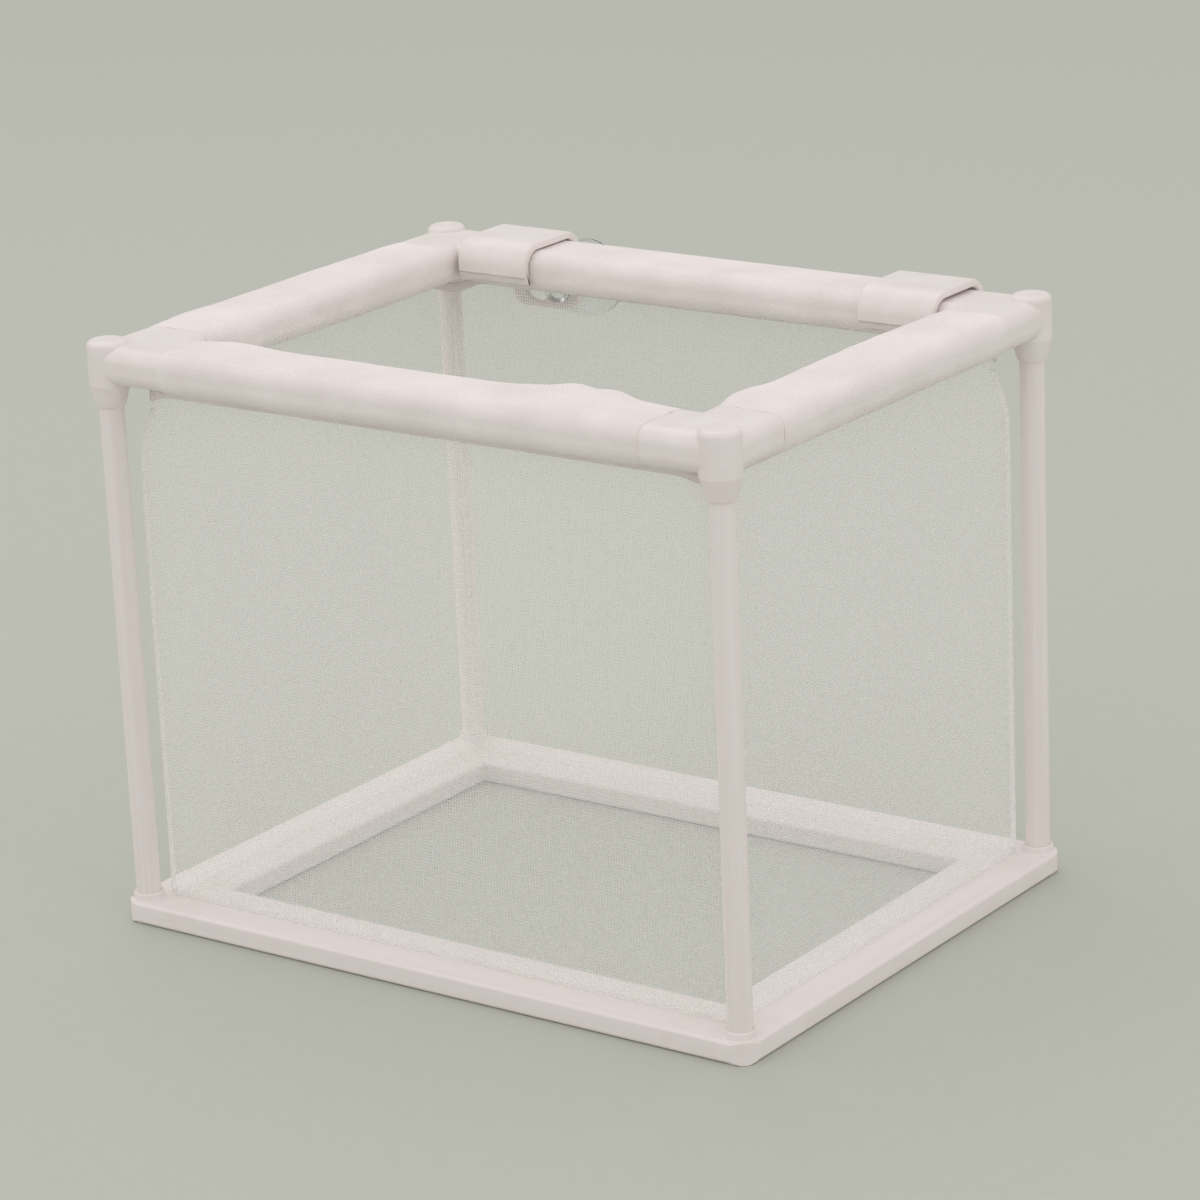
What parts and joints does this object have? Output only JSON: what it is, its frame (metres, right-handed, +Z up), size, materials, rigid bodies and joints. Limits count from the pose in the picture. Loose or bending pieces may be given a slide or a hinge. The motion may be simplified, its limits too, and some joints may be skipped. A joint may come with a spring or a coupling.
{
  "type": "fish breeding box",
  "caption": "Open-topped net box for an aquarium: a knock-down white frame on round posts, a sheer net bag hung from a hollow rim, and suction-cup hangers on the rear rail.",
  "frame": {"origin": "middle of the footprint at the level the box stands on, suction cups included", "axes": "+X along the long sides to the right, +Y to the rear side with the hangers, +Z up"},
  "size_m": [0.1654, 0.1412, 0.1331],
  "materials": {
    "frame_plastic": "white moulded plastic, soft satin sheen",
    "post_plastic": "white extruded rod, faint lengthwise lines",
    "clip_plastic": "white moulded clip, satin",
    "hem_cloth": "white woven hem, folded double",
    "net_cloth": "fine sheer white netting",
    "cup_rubber": "clear soft suction cup"
  },
  "bodies": {
    "base": {"base_rail_front": "frame_plastic", "base_rail_back": "frame_plastic", "base_rail_left": "frame_plastic", "base_rail_right": "frame_plastic", "base_corner_fl": "frame_plastic", "base_corner_fr": "frame_plastic", "base_corner_bl": "frame_plastic", "base_corner_br": "frame_plastic", "post_fl": "post_plastic", "post_fr": "post_plastic", "post_bl": "post_plastic", "post_br": "post_plastic"},
    "rim": {"rim_rail_front": "frame_plastic", "rim_rail_back": "frame_plastic", "rim_rail_left": "frame_plastic", "rim_rail_right": "frame_plastic", "rim_corner_fl": "frame_plastic", "rim_corner_fr": "frame_plastic", "rim_corner_bl": "frame_plastic", "rim_corner_br": "frame_plastic", "hem_front": "hem_cloth", "hem_back": "hem_cloth", "hem_left": "hem_cloth", "hem_right": "hem_cloth", "net_front": "net_cloth", "net_back": "net_cloth", "net_left": "net_cloth", "net_right": "net_cloth", "net_floor": "net_cloth"},
    "clip_left": {"hanger_clip_left": "clip_plastic"},
    "clip_right": {"hanger_clip_right": "clip_plastic"},
    "cup_left": {"suction_cup_left": "cup_rubber"},
    "cup_right": {"suction_cup_right": "cup_rubber"}
  },
  "joints": [
    {"name": "rim_lift", "type": "slide", "parent": "base", "child": "rim", "axis": [0, 0, 1], "range_m": [0, 0.13]},
    {"name": "clip_left_slide", "type": "slide", "parent": "rim", "child": "clip_left", "axis": [1, 0, 0], "range_m": [-0.001, 0.035]},
    {"name": "clip_right_slide", "type": "slide", "parent": "rim", "child": "clip_right", "axis": [-1, 0, 0], "range_m": [-0.001, 0.035]},
    {"name": "cup_left_turn", "type": "hinge", "parent": "clip_left", "child": "cup_left", "pos_m": [-0.0496, 0.0656, 0.1185], "axis": [0, 1, 0], "continuous": true},
    {"name": "cup_right_turn", "type": "hinge", "parent": "clip_right", "child": "cup_right", "pos_m": [0.0496, 0.0656, 0.1185], "axis": [0, 1, 0], "continuous": true}
  ]
}
